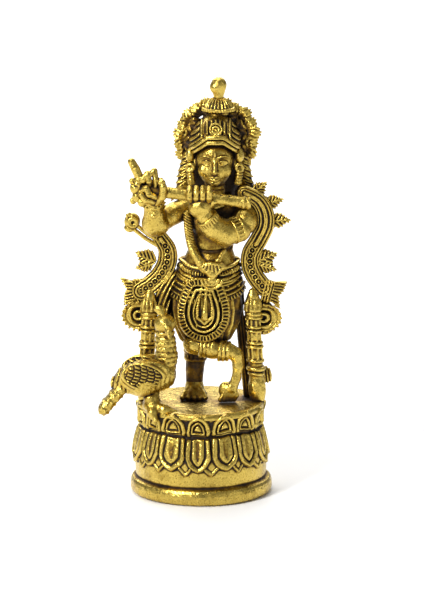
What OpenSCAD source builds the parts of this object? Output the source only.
// Deity playing a flute, with a peacock at its feet, on a lotus pedestal.
// Brass castings that are pinned and brazed together. Millimetres, +Z up.
// The origin is on the pedestal's axis, in the plane that it rests on, and the figure faces -Y.
// Right and left are the figure's own, so its right is at -X.

/* [Pedestal] */
// Radius of the plinth ring
plinth_r = 21.8; // [18.2:0.1:26.2]
// Height of the plinth ring
plinth_h = 5.2; // [4.3:0.1:6.3]
// Width of the plinth ring, from the drum's foot outward
plinth_w = 2.8; // [2.3:0.1:3.4]
// Height of the lotus drum, from the plinth ring to the deck
drum_h = 20.4; // [17:0.1:24.5]
// Radius of the deck plate's spigot
spigot_r = 14.0; // [11.6:0.1:14.6]
// Thickness of the deck plate
deck_t = 2.4; // [2:0.1:2.9]
// Fall of the deck's front half, in degrees
deck_fall = 2.5; // [0:0.1:4]
// How far each petal stands off the drum
petal_t = 0.9; // [0.7:0.05:1.1]
// Petals in each row
petal_n = 15; // [12:1:18]

/* [Figure heights] */
// Deck to the hem of the skirt
leg_h = 16.6; // [13.9:0.1:19.9]
// Hem to the waist
skirt_h = 25.6; // [21.4:0.1:30.7]
// Waist to the shoulders
torso_h = 19.2; // [16:0.1:23]
// Shoulders to the chin
neck_h = 5.4; // [4.5:0.1:6.5]
// Chin to the top of the skull
head_h = 14.6; // [12.2:0.1:17.5]
// Height of the crown above the skull
crown_h = 7.5; // [6.3:0.1:9]
// Height of the ribbed cap
cap_h = 3.4; // [2.9:0.1:4]
// Height of the bud on top
finial_h = 6.7; // [5.6:0.1:8]

/* [Figure widths] */
// Half the width of the skirt at the hips
hip_w = 11.6; // [9.7:0.1:13.9]
// Half the width of the waist
waist_w = 7.4; // [6.2:0.1:8.8]
// Half the width of the chest
chest_w = 8.8; // [7.4:0.1:10.5]
// Half the width of the face
face_w = 5.8; // [4.9:0.1:6.9]
// Radius of the halo
halo_r = 12.6; // [10.5:0.1:15.1]
// Thickness of the halo
halo_t = 3.0; // [2.5:0.1:3.6]
// Radius of the upper arms
arm_r = 3.7; // [3.1:0.1:4.4]
// Radius of the wrists
wrist_r = 2.6; // [2.2:0.1:3.1]
// Radius of the legs
leg_r = 3.0; // [2.5:0.1:3.6]

/* [Flute] */
// Length of the flute
flute_l = 33.5; // [28:0.1:40]
// Radius of the flute
flute_r = 1.75; // [1.5:0.05:2.1]
// Slope of the flute, down to the figure's left, in degrees
flute_tilt = 7; // [5.9:0.1:8.4]

/* [Scarf] */
// Width of the scarf's ribbons
ribbon_w = 5.4; // [4.5:0.1:6.4]
// Thickness of the ribbons
ribbon_t = 2.4; // [2:0.1:2.9]
// Radius of the knotted tassels' widest rings
tassel_r = 2.3; // [1.9:0.05:2.7]
// How far a tassel's axis stands inside the deck's edge
tassel_in = 2.6; // [2.2:0.1:3.1]

/* [Peacock] */
// Length of the peacock's body
bird_l = 15; // [12.5:0.1:18]
// Radius of its body
bird_r = 4.9; // [4.1:0.1:5.9]
// Radius of its neck
bird_neck_r = 2.9; // [2.4:0.1:3.5]
// Length of its tail
bird_tail_l = 11; // [9.2:0.1:13]

/* [Fits] */
// Radius of the pins that hold the castings together
pin_r = 0.9; // [0.75:0.05:1.05]
// Length of a pin beyond the face that it crosses
pin_l = 1.5; // [1.25:0.05:1.7]
// Radial gap round each pin and round the flute
fit_gap = 0.05; // [0.03:0.01:0.06]

/* [Hidden] */
bright = [0.83, 0.68, 0.29];
antique = [0.62, 0.49, 0.2];
form_fn = 14; // facets round a rounded form
fine_fn = 8; // facets round a finger, a toe or a tuft
fine_r = 1.75; // the largest radius that takes fine_fn
disc_fn = 24; // facets round a cross-section
curve_n = 8; // steps along each curve of a profile or path
far = 60; // longer than anything that it cuts
slice_t = 0.02; // thickness of a cross-section

// Pedestal, worked out
drum_foot_r = plinth_r - plinth_w;
belly_r = plinth_r - 1.9;
waist_r = plinth_r - 4.0;
lip_r = plinth_r - 3.2;
deck_r = plinth_r - 2.1;
drum_top = plinth_h + drum_h;
drum_waist = plinth_h + 0.72 * drum_h;
deck_z = drum_top + deck_t;
spigot_l = 1.2;

// Heights, worked out from the deck up
hem_z = deck_z + leg_h;
waist_z = hem_z + skirt_h;
shoulder_z = waist_z + torso_h;
chin_z = shoulder_z + neck_h;
skull_z = chin_z + head_h;
crown_z = skull_z + crown_h;
cap_z = crown_z + cap_h;
top_z = cap_z + finial_h;
face_z = chin_z + head_h / 2;

// The body sways from its feet to its head
body_y = 2.6;
foot_x = -1.9;
hip_x = 1.2;
waist_x = 2.6;
chest_x = 4.2;
head_x = 4.2;
halo_x = head_x + 0.4;
finial_x = head_x + 1.1;
head_y = body_y - 2.2;
halo_y = head_y + 4.2;
halo_z = skull_z - 2.2;

// Joint places on the limbs
hip_d = hip_w - 4.4;
chest_d = chest_w - 3.6;
shoulder_right = [chest_x - chest_w - 0.6, body_y - 0.2, shoulder_z - 3.4];
shoulder_left = [chest_x + chest_w + 0.8, body_y - 0.8, shoulder_z - 4];
elbow_right = [shoulder_right[0] - 8.6, body_y - 4.4, shoulder_z - 7.4];
elbow_left = [shoulder_left[0] - 4, body_y - 7.4, shoulder_z - 7.8];
flute_mid = [head_x - 6, head_y - 8.6, chin_z - 2.4];
hand_right = flute_at(-12.2);
hand_left = flute_at(-0.8);
wrist_right = hand_right + [0.2, 1.2, -4.6];
wrist_left = hand_left + [2.4, 0.6, -4.6];
ankle = [foot_x - 0.1, body_y + 0.8, deck_z + 4.6];
shin_start = [hip_x - 3.4, body_y - 4.6, hem_z + 0.6];
heel = [hip_x + 8.9, body_y - 5, hem_z - 1.4];

// Scarf: where the tassels stand and where the ribbons run
tassel_x = deck_r - tassel_in;
tassel_top = deck_z + leg_h + 16.6;
tassel_y = body_y - 2.8;
drape_x = tassel_x - 4.6;
ribbon_y = body_y - 2.4;
path_left = [
    [chest_x + chest_w + 0.2, shoulder_z + 2.6], [chest_x + chest_w + 5.6, shoulder_z - 0.8],
    [chest_x + chest_w + 6.7, shoulder_z - 6.2], [chest_x + chest_w + 2.7, waist_z + 7.4],
    [waist_x + hip_w - 0.2, waist_z + 2.6], [tassel_x - 2, waist_z - 2.6], [tassel_x + 0.6, waist_z - 6.8]
];
path_right = [
    [-tassel_x + 3.6, waist_z + 5.9], [-tassel_x + 6.3, waist_z + 1.8], [-tassel_x + 5.8, waist_z - 2.8],
    [-tassel_x + 3, waist_z - 6.2], [-tassel_x - 0.8, waist_z - 8.8]
];

// Peacock: chest, rump, neck and head
bird_chest = [-9.6, body_y - 12.4, deck_z + 9.4];
bird_rump = bird_chest + bird_l * [-0.92, 0.03, -0.2];
bird_nape = bird_chest + [-1.5, 1.2, 9.6];
bird_skull = [bird_nape[0] + 0.9, bird_nape[1] + 0.8, bird_nape[2] + 6.6];
bird_tail_end = bird_rump + bird_tail_l * [-0.62, -0.16, -0.62];
bird_foot = [bird_chest[0] - 4.2, bird_chest[1] - 1.2, deck_z];

// Pins: [place on the joint face, direction, radius, piece with the pin, piece with the socket]
PINS = [
    [[foot_x, body_y - 0.2, deck_z], [0, 0, -1], 1.2, "standing_foot", "deck_plate"],
    [[heel[0] - 1.7, heel[1] + 1.2, deck_z], [0, 0, -1], pin_r, "crossed_foot", "deck_plate"],
    [[tassel_x, tassel_y, deck_z], [0, 0, -1], pin_r, "tassel_left", "deck_plate"],
    [[-tassel_x, tassel_y, deck_z], [0, 0, -1], pin_r, "tassel_right", "deck_plate"],
    [[bird_foot[0], bird_foot[1], deck_z], [0, 0, -1], 1.2, "peacock_stand", "deck_plate"],
    [[drape_x + 0.9, body_y + 1.8, deck_z], [0, 0, -1], pin_r, "back_drape", "deck_plate"],
    [[waist_x, body_y, waist_z], [0, 0, -1], 2.2, "torso", "skirt"],
    [[chest_x, body_y - 0.4, shoulder_z], [0, 0, -1], 1.6, "head", "torso"],
    [[head_x + 0.5, head_y + 0.6, crown_z + slice_t], [0, 0, -1], pin_r, "fan_cap", "crown"],
    [[finial_x, halo_y - 2.4, cap_z], [0, 0, -1], pin_r, "finial", "fan_cap"]
];

// ---- functions ----
function mix(a, b, t) = a + (b - a) * t;
function bezier(p, t) = len(p) == 1 ? p[0]
    : bezier([for (i = [0:len(p) - 2]) mix(p[i], p[i + 1], t)], t);
function curve(p, n = curve_n) = [for (i = [0:n]) bezier(p, i / n)];
// A smooth path through every point, from one cubic between each two
function through(p, n = 5) = [
    for (i = [0:len(p) - 2]) let (a = p[max(i - 1, 0)], b = p[i], c = p[i + 1], d = p[min(i + 2, len(p) - 1)])
        for (k = [0:(i == len(p) - 2 ? n : n - 1)]) bezier([b, b + (c - a) / 6, c - (d - b) / 6, c], k / n)
];
function unit(v) = v / norm(v);
function side(p, i) = let (d = unit(p[min(i + 1, len(p) - 1)] - p[max(i - 1, 0)])) [-d[1], d[0]];
// The outline of a ribbon whose half-width is w[0] at its start and w[1] at its end
function ribbon(p, w) = let (n = len(p) - 1) concat(
    [for (i = [0:n]) p[i] + side(p, i) * mix(w[0], w[1], i / n)],
    [for (i = [n:-1:0]) p[i] - side(p, i) * mix(w[0], w[1], i / n)]
);
function flute_at(d) = flute_mid + d * [cos(flute_tilt), 0, -sin(flute_tilt)];

// ---- shared shapes ----
// Takes rounded forms as one mesh
module cast_form() resize([0, 0, 0]) children();
function facets(r) = r > fine_r ? form_fn : fine_fn;
module ball(p, r) translate(p) sphere(r = r, $fn = facets(r));
module limb(p, q, r1, r2) hull() { ball(p, r1); ball(q, r2); }
module limbs(p, r) for (i = [0:len(p) - 2]) limb(p[i], p[i + 1], r[i], r[i + 1]);
module egg(p, r, turn = [0, 0, 0]) translate(p) rotate(turn) scale(r) sphere(r = 1, $fn = facets(max(r[0], r[2])));
module section(s, grow) translate([s[1], s[2], s[0]])
    scale([s[3] + grow, s[4] + grow, 1]) cylinder(r = 1, h = slice_t, $fn = disc_fn);
// Cross-sections [z, x, y, half-width, half-depth] joined in turn
module stack(s, grow = 0) for (i = [0:len(s) - 2]) hull() { section(s[i], grow); section(s[i + 1], grow); }
// A flat outline in X and Z, as thick as t, with its front at y
module plate(y, t) translate([0, y + t, 0]) rotate([90, 0, 0]) linear_extrude(t) children();
// Points +Z along a direction
module aim(p, d) translate(p) rotate([0, acos(d[2] / norm(d)), atan2(d[1], d[0])]) children();
module rod(p, q, r) aim(p, q - p) cylinder(r = r, h = norm(q - p), $fn = 48);
module collar(p, d, r_in, r_out, h) aim(p, d) translate([0, 0, -h / 2]) difference() {
    cylinder(r = r_out, h = h, $fn = disc_fn);
    translate([0, 0, -1]) cylinder(r = r_in, h = h + 2, $fn = disc_fn);
}
module pins_of(name) for (p = PINS) if (p[3] == name)
    aim(p[0] - unit(p[1]) * 0.6, p[1]) cylinder(r = p[2], h = 0.6 + pin_l, $fn = 48);
module sockets_of(name) for (p = PINS) if (p[4] == name)
    aim(p[0] - unit(p[1]) * 2, p[1]) cylinder(r = p[2] + fit_gap, h = 2 + pin_l + 2 * fit_gap, $fn = 48);
// A piece with its pins, its sockets, and the second child cut away from the first
module piece(name) difference() {
    union() {
        cast_form() difference() { children(0); if ($children > 1) children([1:$children - 1]); }
        pins_of(name);
    }
    sockets_of(name);
}

// ---- pedestal ----
lower_curve = curve([[belly_r - 0.7, plinth_h], [belly_r + 1, plinth_h + 4],
                     [belly_r + 0.4, drum_waist - 4], [waist_r, drum_waist]]);
upper_curve = curve([[waist_r, drum_waist], [waist_r + 0.2, drum_waist + 2],
                     [lip_r + 0.2, drum_top - 2], [lip_r, drum_top]]);
module ring_shell(line, t) rotate_extrude($fn = 96)
    polygon(concat(line, [for (i = [len(line) - 1:-1:0]) line[i] + [t, 0]]));
module petal_outline(w, w_top, top, tip, blunt) polygon(concat(
    [[w_top / 2, top]], curve([[w / 2, mix(top, tip, blunt)], [w / 2, mix(top, tip, 0.85)], [0, tip]], 5),
    curve([[0, tip], [-w / 2, mix(top, tip, 0.85)], [-w / 2, mix(top, tip, blunt)]], 5), [[-w_top / 2, top]]
));
module petal_row(line, t, shift) for (i = [0:petal_n - 1]) intersection() {
    ring_shell(line, t);
    rotate([0, 0, (i + shift) * 360 / petal_n]) translate([0, -waist_r + 2, 0])
        rotate([90, 0, 0]) linear_extrude(12) children();
}
petal_gap = 0.6;
lower_pitch = 2 * PI * belly_r / petal_n;
waist_pitch = 2 * PI * waist_r / petal_n;
upper_pitch = 2 * PI * lip_r / petal_n;
lower_tip = plinth_h + 0.22 * drum_h;
module plinth_ring() color(bright) rotate_extrude($fn = 96) polygon(concat(
    [[drum_foot_r, 0], [plinth_r - 0.7, 0]],
    curve([[plinth_r - 0.5, 0.2], [plinth_r + 0.3, 1], [plinth_r + 0.2, plinth_h - 1], [plinth_r - 1, plinth_h - 0.5]]),
    [[plinth_r - 1.5, plinth_h - 0.9], [drum_foot_r, plinth_h - 0.9]]
));
module lotus_drum() color(antique) rotate_extrude($fn = 96) polygon(concat(
    [[0, 0], [drum_foot_r, 0], [drum_foot_r, plinth_h]], lower_curve, upper_curve,
    [[spigot_r, drum_top], [spigot_r, drum_top - spigot_l], [0, drum_top - spigot_l]]
));
module lower_petals() color(bright) petal_row(lower_curve, petal_t, 0)
    petal_outline(lower_pitch - petal_gap, waist_pitch - petal_gap, drum_waist, lower_tip, 0.55);
module petal_points() color(bright) petal_row(lower_curve, petal_t * 0.6, 0.5) difference() {
    petal_outline(lower_pitch / 2, lower_pitch / 2, mix(lower_tip, drum_waist, 0.4), lower_tip - 0.6, 0.3);
    for (s = [-0.5, 0.5]) translate([s * lower_pitch, 0]) offset(delta = 0.2)
        petal_outline(lower_pitch - petal_gap, waist_pitch - petal_gap, drum_waist, lower_tip, 0.55);
}
module upper_petals() color(bright) petal_row(upper_curve, petal_t, 0)
    petal_outline(upper_pitch - petal_gap, waist_pitch - petal_gap, drum_waist, drum_top, 0.3);
module deck_plate() color(bright) difference() {
    union() {
        translate([0, 0, drum_top]) cylinder(r = deck_r, h = deck_t, $fn = 96);
        translate([0, 0, drum_top - spigot_l]) cylinder(r = spigot_r - fit_gap, h = spigot_l + 0.1, $fn = 96);
    }
    translate([-far, 0, deck_z]) rotate([deck_fall, 0, 0]) translate([0, -far, 0]) cube([2 * far, far, far]);
    sockets_of("deck_plate");
}

// ---- legs ----
toe_r = 0.95;
foot_len = 7.6;
module standing_leg_form() limbs([ankle, [hip_x - 2.2, body_y + 0.4, hem_z + 1.4]], [leg_r - 0.5, leg_r + 0.4]);
module standing_foot_form() intersection() {
    union() {
        hull() { ball(ankle + [0, 0, -1.2], leg_r - 0.5); ball([foot_x, body_y + 3, deck_z + 1.4], 2.2);
                 for (s = [-1, 1]) ball([foot_x + s * 2.6, body_y - 1.6, deck_z + 0.9], 1.2); }
        for (i = [-2:2]) limb([foot_x + 0.2 + i * 1.62, body_y - 1.8, deck_z + 1],
                              [foot_x + 0.2 + i * 1.72, body_y - 3.2 + abs(i) * 0.3, deck_z + 0.8], toe_r, toe_r);
    }
    translate([-far, -far, deck_z]) cube(2 * far);
}
module crossed_shin_form() limb(shin_start, heel + [-1.6, 0, 0], leg_r, leg_r - 0.5);
module crossed_foot_form() intersection() {
    union() {
        limbs([heel, heel + [-0.6, 0.2, -5.6], heel + [-1.4, 0.8, -11.8]], [1.9, 1.5, 2]);
        for (i = [0:3]) limb(heel + [-1.2, 0.6 + i * 0.3, -12.4],
                             [heel[0] - 5 + i * 1.35, heel[1] + 0.2 + i * 0.4, deck_z + 0.9], 1.4, toe_r);
    }
    translate([-far, -far, deck_z]) cube(2 * far);
}
module standing_leg() color(antique) piece("standing_leg") { standing_leg_form(); skirt_form(); crossed_shin_form(); }
module standing_foot() color(antique) piece("standing_foot") { standing_foot_form(); standing_leg_form(); }
module standing_anklet() color(antique) cast_form() difference() {
    collar(mix(ankle, [hip_x - 2.2, body_y + 0.4, hem_z + 1.4], 0.42), [0.1, 0, 1], 1.6, leg_r + 0.8, 3);
    standing_leg_form();
}
module crossed_shin() color(bright) piece("crossed_shin") { crossed_shin_form(); skirt_form(); }
module crossed_foot() color(bright) piece("crossed_foot") { crossed_foot_form(); crossed_shin_form(); }
module crossed_anklet() color(bright) cast_form() difference() {
    collar(mix(shin_start, heel, 0.72), heel - shin_start, 1.6, leg_r + 0.3, 2.2);
    crossed_shin_form();
    skirt_form();
    crossed_foot_form();
}

// ---- skirt and belt ----
skirt_sections = [
    [waist_z, waist_x, body_y, waist_w + 1.2, 5.4], [waist_z - 5, waist_x - 0.6, body_y, waist_w + 2.3, 6],
    [mix(hem_z, waist_z, 0.55), hip_x, body_y - 0.3, hip_w, hip_d],
    [mix(hem_z, waist_z, 0.3), hip_x - 0.2, body_y - 0.4, hip_w - 1.2, hip_d], [hem_z, hip_x, body_y, 5.4, 4.8]
];
overlay = 1.5; // how far belts, drapes and the apron stand off the skirt
apron_x = hip_x + 0.5;
apron_top = waist_z - 5.4;
apron_w = 6.6;
apron_low = [apron_x - 0.6, hem_z + 2 + apron_w];
module skirt_form(grow = 0) stack(skirt_sections, grow);
module overlay_form(grow) intersection() { skirt_form(grow); children(); }
module front(y0 = -far) plate(y0, body_y - y0 - 1) children();
module apron_outline(w) hull() {
    translate([apron_x + 1, apron_top - w / 2]) circle(r = w / 2, $fn = disc_fn);
    translate(apron_low) circle(r = w, $fn = disc_fn);
}
module apron_solid() overlay_form(overlay) front() apron_outline(apron_w);
module belt_solid() overlay_form(overlay) translate([-far, -far, waist_z - 5.2]) cube([2 * far, 2 * far, 5.2]);
module drape_outline(s) hull() {
    translate([hip_x + s * 5.8, waist_z - 6.6]) circle(r = 1.2, $fn = disc_fn);
    translate([hip_x + s * 9.6, waist_z - 7.2]) circle(r = 1.2, $fn = disc_fn);
    translate([hip_x + s * 8.6, waist_z - 11]) circle(r = 3.2, $fn = disc_fn);
}
module skirt() color(antique) piece("skirt") skirt_form();
module apron() color(bright) cast_form() difference() { apron_solid(); skirt_form(); crossed_shin_form(); }
module apron_pendant() color(bright) cast_form() difference() {
    overlay_form(overlay + 1.1) front() hull() {
        translate([apron_x + 0.4, apron_top - 3.4]) circle(r = 0.9, $fn = disc_fn);
        translate([apron_x - 0.1, hem_z + 8.4]) circle(r = 1.5, $fn = disc_fn);
    }
    overlay_form(overlay) front() apron_outline(apron_w);
    skirt_form();
}
module belt() color(bright) cast_form() difference() { belt_solid(); skirt_form(); torso_form(); }
module buckle_form() hull() {
    egg([waist_x + 0.4, body_y - 7.2, waist_z - 0.8], [3.8, 2.2, 2]);
    egg([waist_x + 0.4, body_y - 7, waist_z - 3.8], [2.4, 1.8, 1.6]);
}
module belt_buckle() color(bright) cast_form() difference() {
    buckle_form(); belt_solid(); skirt_form(); torso_form(); apron_solid();
}
module side_drapes() color(bright) cast_form() for (s = [-1, 1]) difference() {
    overlay_form(overlay) front() drape_outline(s);
    skirt_form(); belt_solid(); apron_solid();
}

// ---- torso ----
torso_sections = [
    [waist_z, waist_x, body_y, waist_w, 4.8], [waist_z + 0.2 * torso_h, waist_x + 0.2, body_y - 0.2, waist_w - 1.1, 4.8],
    [waist_z + 0.65 * torso_h, chest_x, body_y - 0.2, chest_w - 0.4, chest_d],
    [shoulder_z - 2.2, chest_x, body_y, chest_w, chest_d - 0.3], [shoulder_z, chest_x, body_y, 5, 3.6]
];
garland_path = [
    [chest_x - chest_w + 0.4, body_y - 4, shoulder_z - 3], [chest_x - chest_w + 0.2, body_y - 5.2, shoulder_z - 9],
    [waist_x - 4.6, body_y - 5, waist_z + 5], [waist_x - 1, body_y - 5.6, waist_z + 1.8],
    [waist_x + 2.6, body_y - 5.4, waist_z + 3.6], [waist_x + 5, body_y - 4.6, waist_z + 7]
];
module torso_form() stack(torso_sections);
module neck_form() rod([chest_x, body_y - 0.4, shoulder_z], [head_x, head_y + 1, chin_z + 2], 2.9);
module torso() color(antique) piece("torso") { torso_form(); skirt_form(); }
module garland_form() limbs(garland_path, [1, 1.2, 1.3, 1.3, 1.1, 0.9]);
module garland() color(bright) cast_form() difference() {
    garland_form();
    torso_form(); skirt_form(); belt_solid(); buckle_form(); left_arm_form(); right_upper_form();
}
module necklace_form() translate([chest_x, body_y - 0.6, shoulder_z - 0.6]) rotate([22, 0, 0]) scale([1.15, 1, 1])
    rotate_extrude($fn = disc_fn) translate([4.6, 0]) circle(r = 1, $fn = 12);
module necklace() color(antique) cast_form() difference() {
    necklace_form();
    torso_form(); neck_form(); hair_form(); flute_hole(0); hand_left_form();
}

// ---- arms and flute ----
module right_upper_form() limb(shoulder_right, elbow_right, arm_r - 0.4, arm_r + 0.4);
module right_forearm_form() limb(elbow_right, wrist_right, arm_r + 0.6, wrist_r);
module left_upper_form() limb(shoulder_left, elbow_left, arm_r, arm_r + 0.2);
module left_forearm_form() limb(elbow_left, wrist_left, arm_r - 0.1, wrist_r + 0.2);
module left_arm_form() { left_upper_form(); left_forearm_form(); }
finger_r = 0.95;
module finger(root, mid, tip) limbs([root, mid, tip], [finger_r, finger_r, finger_r * 0.85]);
module hand_right_form() {
    limb(wrist_right, hand_right + [-1.2, 1.6, -2.4], wrist_r + 0.1, 2.3);
    limb(hand_right + [-1.2, 1.8, -2], hand_right + [-4.6, 1.2, 0.2], 2.2, 1.9);
    finger(hand_right + [1.5, -0.6, -2.6], hand_right + [2, -2, 1], hand_right + [1.4, -1.4, 3.2]);
    finger(hand_right + [-1, 1, 1.6], hand_right + [-0.4, 0.6, 5], hand_right + [-1.6, -1.6, 4]);
    finger(hand_right + [-3, 1, 1.6], hand_right + [-2.6, 0.4, 4.6], hand_right + [-3.6, -1.6, 3]);
    finger(hand_right + [-5.2, 1, 1.2], hand_right + [-6.8, -0.4, 5.2], hand_right + [-7.6, -0.8, 8.8]);
}
module hand_left_form() {
    limb(wrist_left, hand_left + [0.4, 0.8, -1], wrist_r + 0.3, 2.6);
    for (i = [0:3]) finger(hand_left + [3.4 - i * 2.25, 1, -1.4], hand_left + [3.2 - i * 2.25, -1.9, 0.2],
                           hand_left + [3.1 - i * 2.25, -0.8, 2.1]);
}
flute_ring = 0.5; // how far the ring at the mouth end stands off the flute
module flute_hole(g) {
    rod(flute_at(-flute_l / 2), flute_at(flute_l / 2), flute_r + g);
    rod(flute_at(flute_l / 2 - 1.2), flute_at(flute_l / 2), flute_r + flute_ring / 2 + g);
    rod(flute_at(-flute_l / 2), flute_at(-flute_l / 2 + 1.6), flute_r + flute_ring + g);
}
module right_upper_arm() color(antique) piece("right_upper_arm") { right_upper_form(); torso_form(); right_forearm_form(); }
module right_forearm() color(bright) piece("right_forearm") { right_forearm_form(); hand_right_form(); flute_hole(fit_gap); }
module right_hand() color(bright) difference() { cast_form() hand_right_form(); flute_hole(fit_gap); }
module left_upper_arm() color(bright) piece("left_upper_arm") { left_upper_form(); torso_form(); }
module left_forearm() color(bright) piece("left_forearm") {
    left_forearm_form(); left_upper_form(); hand_left_form(); torso_form(); flute_hole(fit_gap);
}
module left_hand() color(bright) difference() {
    cast_form() difference() { hand_left_form(); torso_form(); left_upper_form(); }
    flute_hole(fit_gap);
}
module armlet() color(bright) cast_form() difference() {
    collar(mix(shoulder_left, elbow_left, 0.45), elbow_left - shoulder_left, 2, arm_r + 0.9, 2.6);
    left_arm_form(); torso_form(); flute_hole(fit_gap); garland_form(); necklace_form(); scarf_form(1);
}
module bracelets() color(bright) cast_form() {
    difference() {
        collar(mix(elbow_left, wrist_left, 0.72), wrist_left - elbow_left, 1.5, wrist_r + 1.3, 2.4);
        left_arm_form(); hand_left_form(); torso_form(); flute_hole(fit_gap); garland_form(); necklace_form();
    }
    difference() {
        collar(mix(elbow_right, wrist_right, 0.6), wrist_right - elbow_right, 1.5, wrist_r + 1.4, 1.8);
        right_forearm_form(); right_upper_form(); hand_right_form(); flute_hole(fit_gap);
    }
}
module flute() color(bright) difference() {
    flute_hole(0);
    for (d = [5.2, 7.8, 10.4]) translate(flute_at(d)) rotate([0, flute_tilt, 0]) cylinder(r = 0.45, h = far, $fn = 24);
}

// ---- head ----
module head_form() { egg([head_x, head_y, face_z], [face_w, 6.1, head_h / 2]); neck_form(); }
module hair_form() hull() {
    egg([head_x, halo_y - 0.6, face_z + 1], [face_w + 1.6, 3.6, head_h / 2]);
    egg([head_x, body_y + 5, shoulder_z - 4], [4, 2.6, 7]);
}
crown_sections = [
    [skull_z - 3.2, head_x, head_y, 6.8, 6.6], [skull_z + 1, head_x + 0.1, head_y, 6.5, 6.4],
    [skull_z + 0.6 * crown_h, head_x + 0.3, head_y, 4.9, 4.9], [crown_z, head_x + 0.4, head_y, 2.4, 2.4]
];
band_t = 0.9; // how far the headband and panel stand off the crown
module crown_form(grow = 0) stack(crown_sections, grow);
module band_solid() intersection() {
    crown_form(band_t);
    translate([-far, -far, skull_z - 3.2]) cube([2 * far, far + halo_y, 2.4]);
}
module halo_outline() hull() {
    translate([halo_x, halo_z]) circle(r = halo_r, $fn = 72);
    translate([halo_x, halo_z - halo_r * 0.7]) circle(r = halo_r * 0.7, $fn = 72);
}
module halo_solid(g = 0) plate(halo_y, halo_t) offset(delta = g) halo_outline();
module head() color(bright) piece("head") { head_form(); torso_form(); halo_solid(); }
ear_x = face_w + 0.6;
ear_r = 1.7;
module earring_space() for (s = [-1, 1])
    egg([head_x + s * ear_x, head_y - 1.2, face_z - 1], [ear_r + fit_gap, ear_r + fit_gap, 4.6]);
module earrings() color(bright) cast_form() difference() {
    for (s = [-1, 1]) translate([head_x + s * ear_x, head_y - 1.2, 0]) rotate_extrude($fn = 16) polygon(concat(
        curve([[0, face_z + 3.4], [ear_r, face_z + 3.2], [ear_r, face_z + 0.6], [0.7, face_z + 0.2]], 4),
        curve([[0.7, face_z + 0.2], [1.5, face_z - 3], [1.4, face_z - 4.6], [0, face_z - 5.4]], 4)
    ));
    head_form();
}
module hair() color(antique) piece("hair") { hair_form(); head_form(); torso_form(); halo_solid(); crown_form(band_t); }
lock_paths = [for (s = [-1, 1]) [
    [head_x + s * 8.3, head_y + 2, face_z + 2], [head_x + s * 9.6, head_y + 2, face_z - 3.4],
    [head_x + s * 10.2, head_y + 2, chin_z - 1], [head_x + s * 12.2, head_y + 1.6, chin_z - 3.2]
]];
module hair_locks_form() for (p = lock_paths) limbs(p, [1.7, 1.8, 1.9, 1.3]);
module hair_locks() color(antique) cast_form() difference() {
    hair_locks_form();
    head_form(); torso_form(); halo_solid(); hair_form(); scarf_form(1); left_upper_form();
    earring_space();
}
module crown() color(bright) piece("crown") { crown_form(); head_form(); halo_solid(); }
module crown_band() color(bright) cast_form() difference() { band_solid(); crown_form(); head_form(); halo_solid(); }
module crown_panel() color(bright) cast_form() difference() {
    intersection() {
        crown_form(band_t);
        plate(-far, far) hull() {
            translate([head_x + 0.4, skull_z + 4.4]) circle(r = 1.6, $fn = disc_fn);
            translate([head_x + 0.4, skull_z + 0.4]) square([8.4, 2], center = true);
        }
    }
    crown_form(); head_form(); band_solid();
}
tuft_n = 15;
function tuft_at(i) = -52 + i * 284 / (tuft_n - 1);
module halo() color(antique) halo_solid();
module halo_tufts() color(antique) cast_form() difference() {
    for (i = [0:tuft_n - 1]) let (a = tuft_at(i), r = halo_r - 1.6) if (a < 78 || a > 102)
        ball([halo_x + r * cos(a), halo_y - 0.2, halo_z + r * sin(a)], 1.6);
    halo_solid(); hair_form(); crown_form(band_t); hair_locks_form(); cap_space();
}
cap_r = 5.3;
cap_ribs = 18;
module cap_space() translate([finial_x, halo_y - 2.4, crown_z]) cylinder(r = cap_r + fit_gap, h = far, $fn = disc_fn);
module fan_cap() color(bright) difference() {
    union() {
        translate([finial_x, halo_y - 2.4, crown_z + slice_t]) difference() {
            intersection() {
                resize([2 * cap_r, 2 * cap_r, 2 * cap_h]) sphere(r = 5, $fn = 32);
                translate([-far, -far, 0]) cube(2 * far);
            }
            for (i = [0:cap_ribs - 1]) rotate([0, 0, i * 360 / cap_ribs]) translate([cap_r + 0.1, 0, -1])
                cylinder(r = 0.4, h = far, $fn = 16);
        }
        pins_of("fan_cap");
    }
    halo_solid(fit_gap);
    sockets_of("fan_cap");
}
module finial() color(bright) union() {
    translate([finial_x, halo_y - 2.4, cap_z]) rotate_extrude($fn = 32) polygon(concat(
        [[0, 0], [1.2, 0]],
        curve([[1.2, 0], [3.4, finial_h * 0.4], [3, finial_h], [0, finial_h]])
    ));
    pins_of("finial");
}

// ---- scarf ----
function scarf_y(s) = ribbon_y - (s > 0 ? 1.4 : 0);
module scarf_form(s) plate(scarf_y(s), ribbon_t)
    polygon(ribbon(through(s > 0 ? path_left : path_right), [ribbon_w * 0.42, ribbon_w / 2]));
module scarf_end_form(s) let (p = s > 0 ? path_left : path_right, n = len(p) - 1, d = unit(p[n] - p[n - 1]))
    plate(scarf_y(s) - 0.3, ribbon_t + 0.6)
        polygon(ribbon([p[n] - d * 2, p[n], p[n] + d * 3.2], [ribbon_w / 2 + 0.2, ribbon_w / 2 + 1]));
module scarf_cuts(s) {
    torso_form(); skirt_form(overlay); left_upper_form(); left_forearm_form(); right_upper_form();
    right_forearm_form();
}
module scarf_side(s, name) piece(name) { scarf_form(s); scarf_cuts(s); scarf_end_form(s); halo_solid(); }
module scarf_left() color(antique) scarf_side(1, "scarf_left");
module scarf_right() color(antique) scarf_side(-1, "scarf_right");
module scarf_end_left() color(bright) scarf_end_form(1);
module scarf_end_right() color(bright) scarf_end_form(-1);
cord_a = [elbow_right[0] - 5.5, body_y - 1.8, shoulder_z - 10.6];
cord_b = [-tassel_x + 4.6, body_y - 1.2, waist_z + 5.2];
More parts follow.
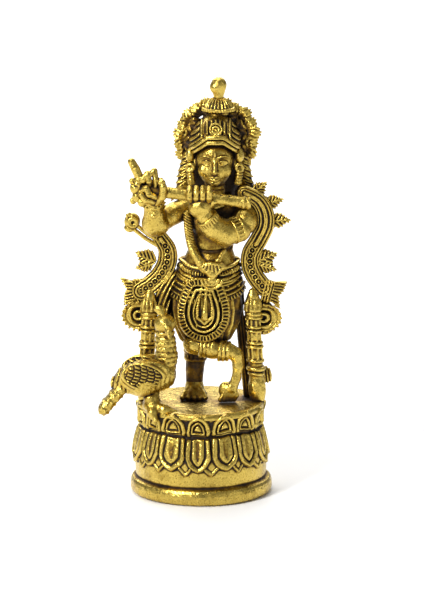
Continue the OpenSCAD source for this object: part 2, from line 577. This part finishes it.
module scarf_cord() color(bright) cast_form() difference() {
    union() {
        limb(cord_a, cord_b, 1.2, 1.2);
        limb(cord_a + [1.2, 0, 1.8], cord_b + [1.4, 0, 1.6], 1, 1);
        ball(cord_a, 2.2);
    }
    scarf_form(-1); scarf_cuts(-1);
}
// Leaves: [side of the figure, point on the ribbon's path, edge of the ribbon, lean]
LEAVES = [[1, 0, 1, 10], [1, 1, 1, 10], [1, 2, 1, -10], [1, 4, 1, 0], [-1, 1, -1, 20]];
leaf_l = 3.4;
leaf_w = 1.7;
module scarf_leaves() color(antique) cast_form() for (l = LEAVES)
    let (p = l[0] > 0 ? path_left : path_right, n = side(p, l[1]) * l[2],
         c = p[l[1]] + n * (ribbon_w * 0.45 + leaf_l * 0.6)) difference() {
        egg([c[0], scarf_y(l[0]) + ribbon_t / 2, c[1]], [leaf_l, 1, leaf_w], [0, l[3] - atan2(n[1], n[0]), 0]);
        scarf_form(l[0]); left_upper_form(); halo_solid(); hair_locks_form(); flute_hole(fit_gap);
    }
tassel_curve = [[0.9, 0], [1.6, 0.02], [1, 0.07], [0.85, 0.2], [0.95, 0.24], [1, 0.28], [0.8, 0.34], [0.75, 0.48],
                [0.9, 0.52], [0.9, 0.56], [0.7, 0.62], [0.7, 0.74], [1, 0.78], [1, 0.82], [0.7, 0.86], [0.95, 0.91],
                [0.85, 0.96], [0, 1]];
module tassel_form(s) translate([s * tassel_x, tassel_y, deck_z]) rotate_extrude($fn = 32)
    polygon(concat([[0, 0]], [for (p = tassel_curve) [p[0] * tassel_r, p[1] * (tassel_top - deck_z)]]));
module tassel_cuts(s) { scarf_form(s); scarf_end_form(s); }
module tassel_side(s, name) { difference() { tassel_form(s); tassel_cuts(s); } pins_of(name); }
module tassel_left() color(bright) tassel_side(1, "tassel_left");
module tassel_right() color(bright) tassel_side(-1, "tassel_right");
loop_z = deck_z + leg_h + 9.4;
module scarf_loops() color(antique) for (s = [-1, 1]) difference() {
    plate(tassel_y - 0.8, 2.2) difference() {
        translate([s * (tassel_x + 2.6), loop_z]) circle(r = 3.4, $fn = disc_fn);
        translate([s * (tassel_x + 3), loop_z]) circle(r = 1.1, $fn = disc_fn);
    }
    tassel_form(s); tassel_cuts(s);
}
module back_drape() color(antique) piece("back_drape") {
    intersection() {
        stack([
            [deck_z, drape_x + 0.9, body_y + 1.8, 1.3, 2.4], [mix(deck_z, hem_z, 0.6), drape_x, body_y + 1.6, 1.1, 2.2],
            [hem_z + 9, drape_x - 1.4, body_y + 1, 1.4, 2.2]
        ]);
        translate([-far, -far, deck_z]) cube(2 * far);
    }
    skirt_form(overlay); tassel_form(1); scarf_form(1);
}

// ---- peacock ----
module bird_body_form() hull() {
    ball(bird_chest, bird_r);
    ball(mix(bird_chest, bird_rump, 0.6), bird_r * 0.86);
    ball(bird_rump, bird_r * 0.5);
}
module bird_neck_form() limbs([bird_chest + [-0.6, 0.6, 2], bird_nape], [bird_neck_r + 0.6, bird_neck_r]);
module bird_head_form() {
    ball(bird_skull, bird_neck_r + 0.3);
    limb(bird_skull, bird_nape, bird_neck_r, bird_neck_r * 0.9);
    limb(bird_skull + [0.8, -1.6, -0.6], bird_skull + [1.6, -4.4, -1.8], 1.3, 0.6);
    limb(bird_skull + [-0.4, 0, 2.6], bird_skull + [-0.8, 0.6, 4.6], 1.1, 1.3);
}
module bird_tail_form() hull() {
    egg(bird_rump + [0.6, 0, 0.2], [2, 3, 1.8]);
    egg(bird_tail_end, [1.6, 4, 1.3]);
}
module bird_wing_form(s) egg(mix(bird_chest, bird_rump, 0.46) + [0, s * bird_r * 0.8, 0.8],
                             [bird_l * 0.52, 1.7, bird_r * 0.68], [0, -12, 0]);
module bird_stand_form() intersection() {
    union() {
        limb(bird_chest + [-3, -0.4, -3], bird_foot + [0, 0, 1], 2.2, 2.6);
        limb(bird_foot + [0, 0, 1], bird_foot + [3.4, -1.6, 0.6], 2.4, 1.6);
        limb(bird_foot + [0, 0, 1], bird_foot + [-3.6, 0.6, 0.8], 2.4, 1.4);
    }
    translate([-far, -far, deck_z]) cube(2 * far);
}
module peacock_body() color(bright) piece("peacock_body") { bird_body_form(); tassel_form(-1); }
module peacock_wings() color(bright) cast_form() for (s = [-1, 1]) difference() {
    bird_wing_form(s); bird_body_form(); bird_tail_form(); bird_neck_form(); tassel_form(-1); bird_stand_form();
}
module peacock_neck() color(antique) piece("peacock_neck") { bird_neck_form(); bird_body_form(); bird_head_form(); tassel_form(-1); }
module peacock_head() color(bright) piece("peacock_head") { bird_head_form(); tassel_form(-1); }
module peacock_tail() color(antique) piece("peacock_tail") {
    bird_tail_form(); bird_body_form(); deck_space();
}
module deck_space() translate([0, 0, plinth_h]) cylinder(r = plinth_r, h = deck_z - plinth_h, $fn = 96);
module peacock_stand() color(bright) piece("peacock_stand") { bird_stand_form(); bird_body_form(); tassel_form(-1); }

plinth_ring();
lotus_drum();
lower_petals();
petal_points();
upper_petals();
deck_plate();
standing_leg();
standing_foot();
standing_anklet();
crossed_shin();
crossed_foot();
crossed_anklet();
skirt();
apron();
apron_pendant();
belt();
belt_buckle();
side_drapes();
torso();
garland();
necklace();
right_upper_arm();
right_forearm();
right_hand();
left_upper_arm();
left_forearm();
left_hand();
armlet();
bracelets();
flute();
head();
earrings();
hair();
hair_locks();
crown();
crown_band();
crown_panel();
halo();
halo_tufts();
fan_cap();
finial();
scarf_right();
scarf_left();
scarf_end_right();
scarf_end_left();
scarf_cord();
scarf_leaves();
tassel_right();
tassel_left();
scarf_loops();
back_drape();
peacock_body();
peacock_wings();
peacock_neck();
peacock_head();
peacock_tail();
peacock_stand();
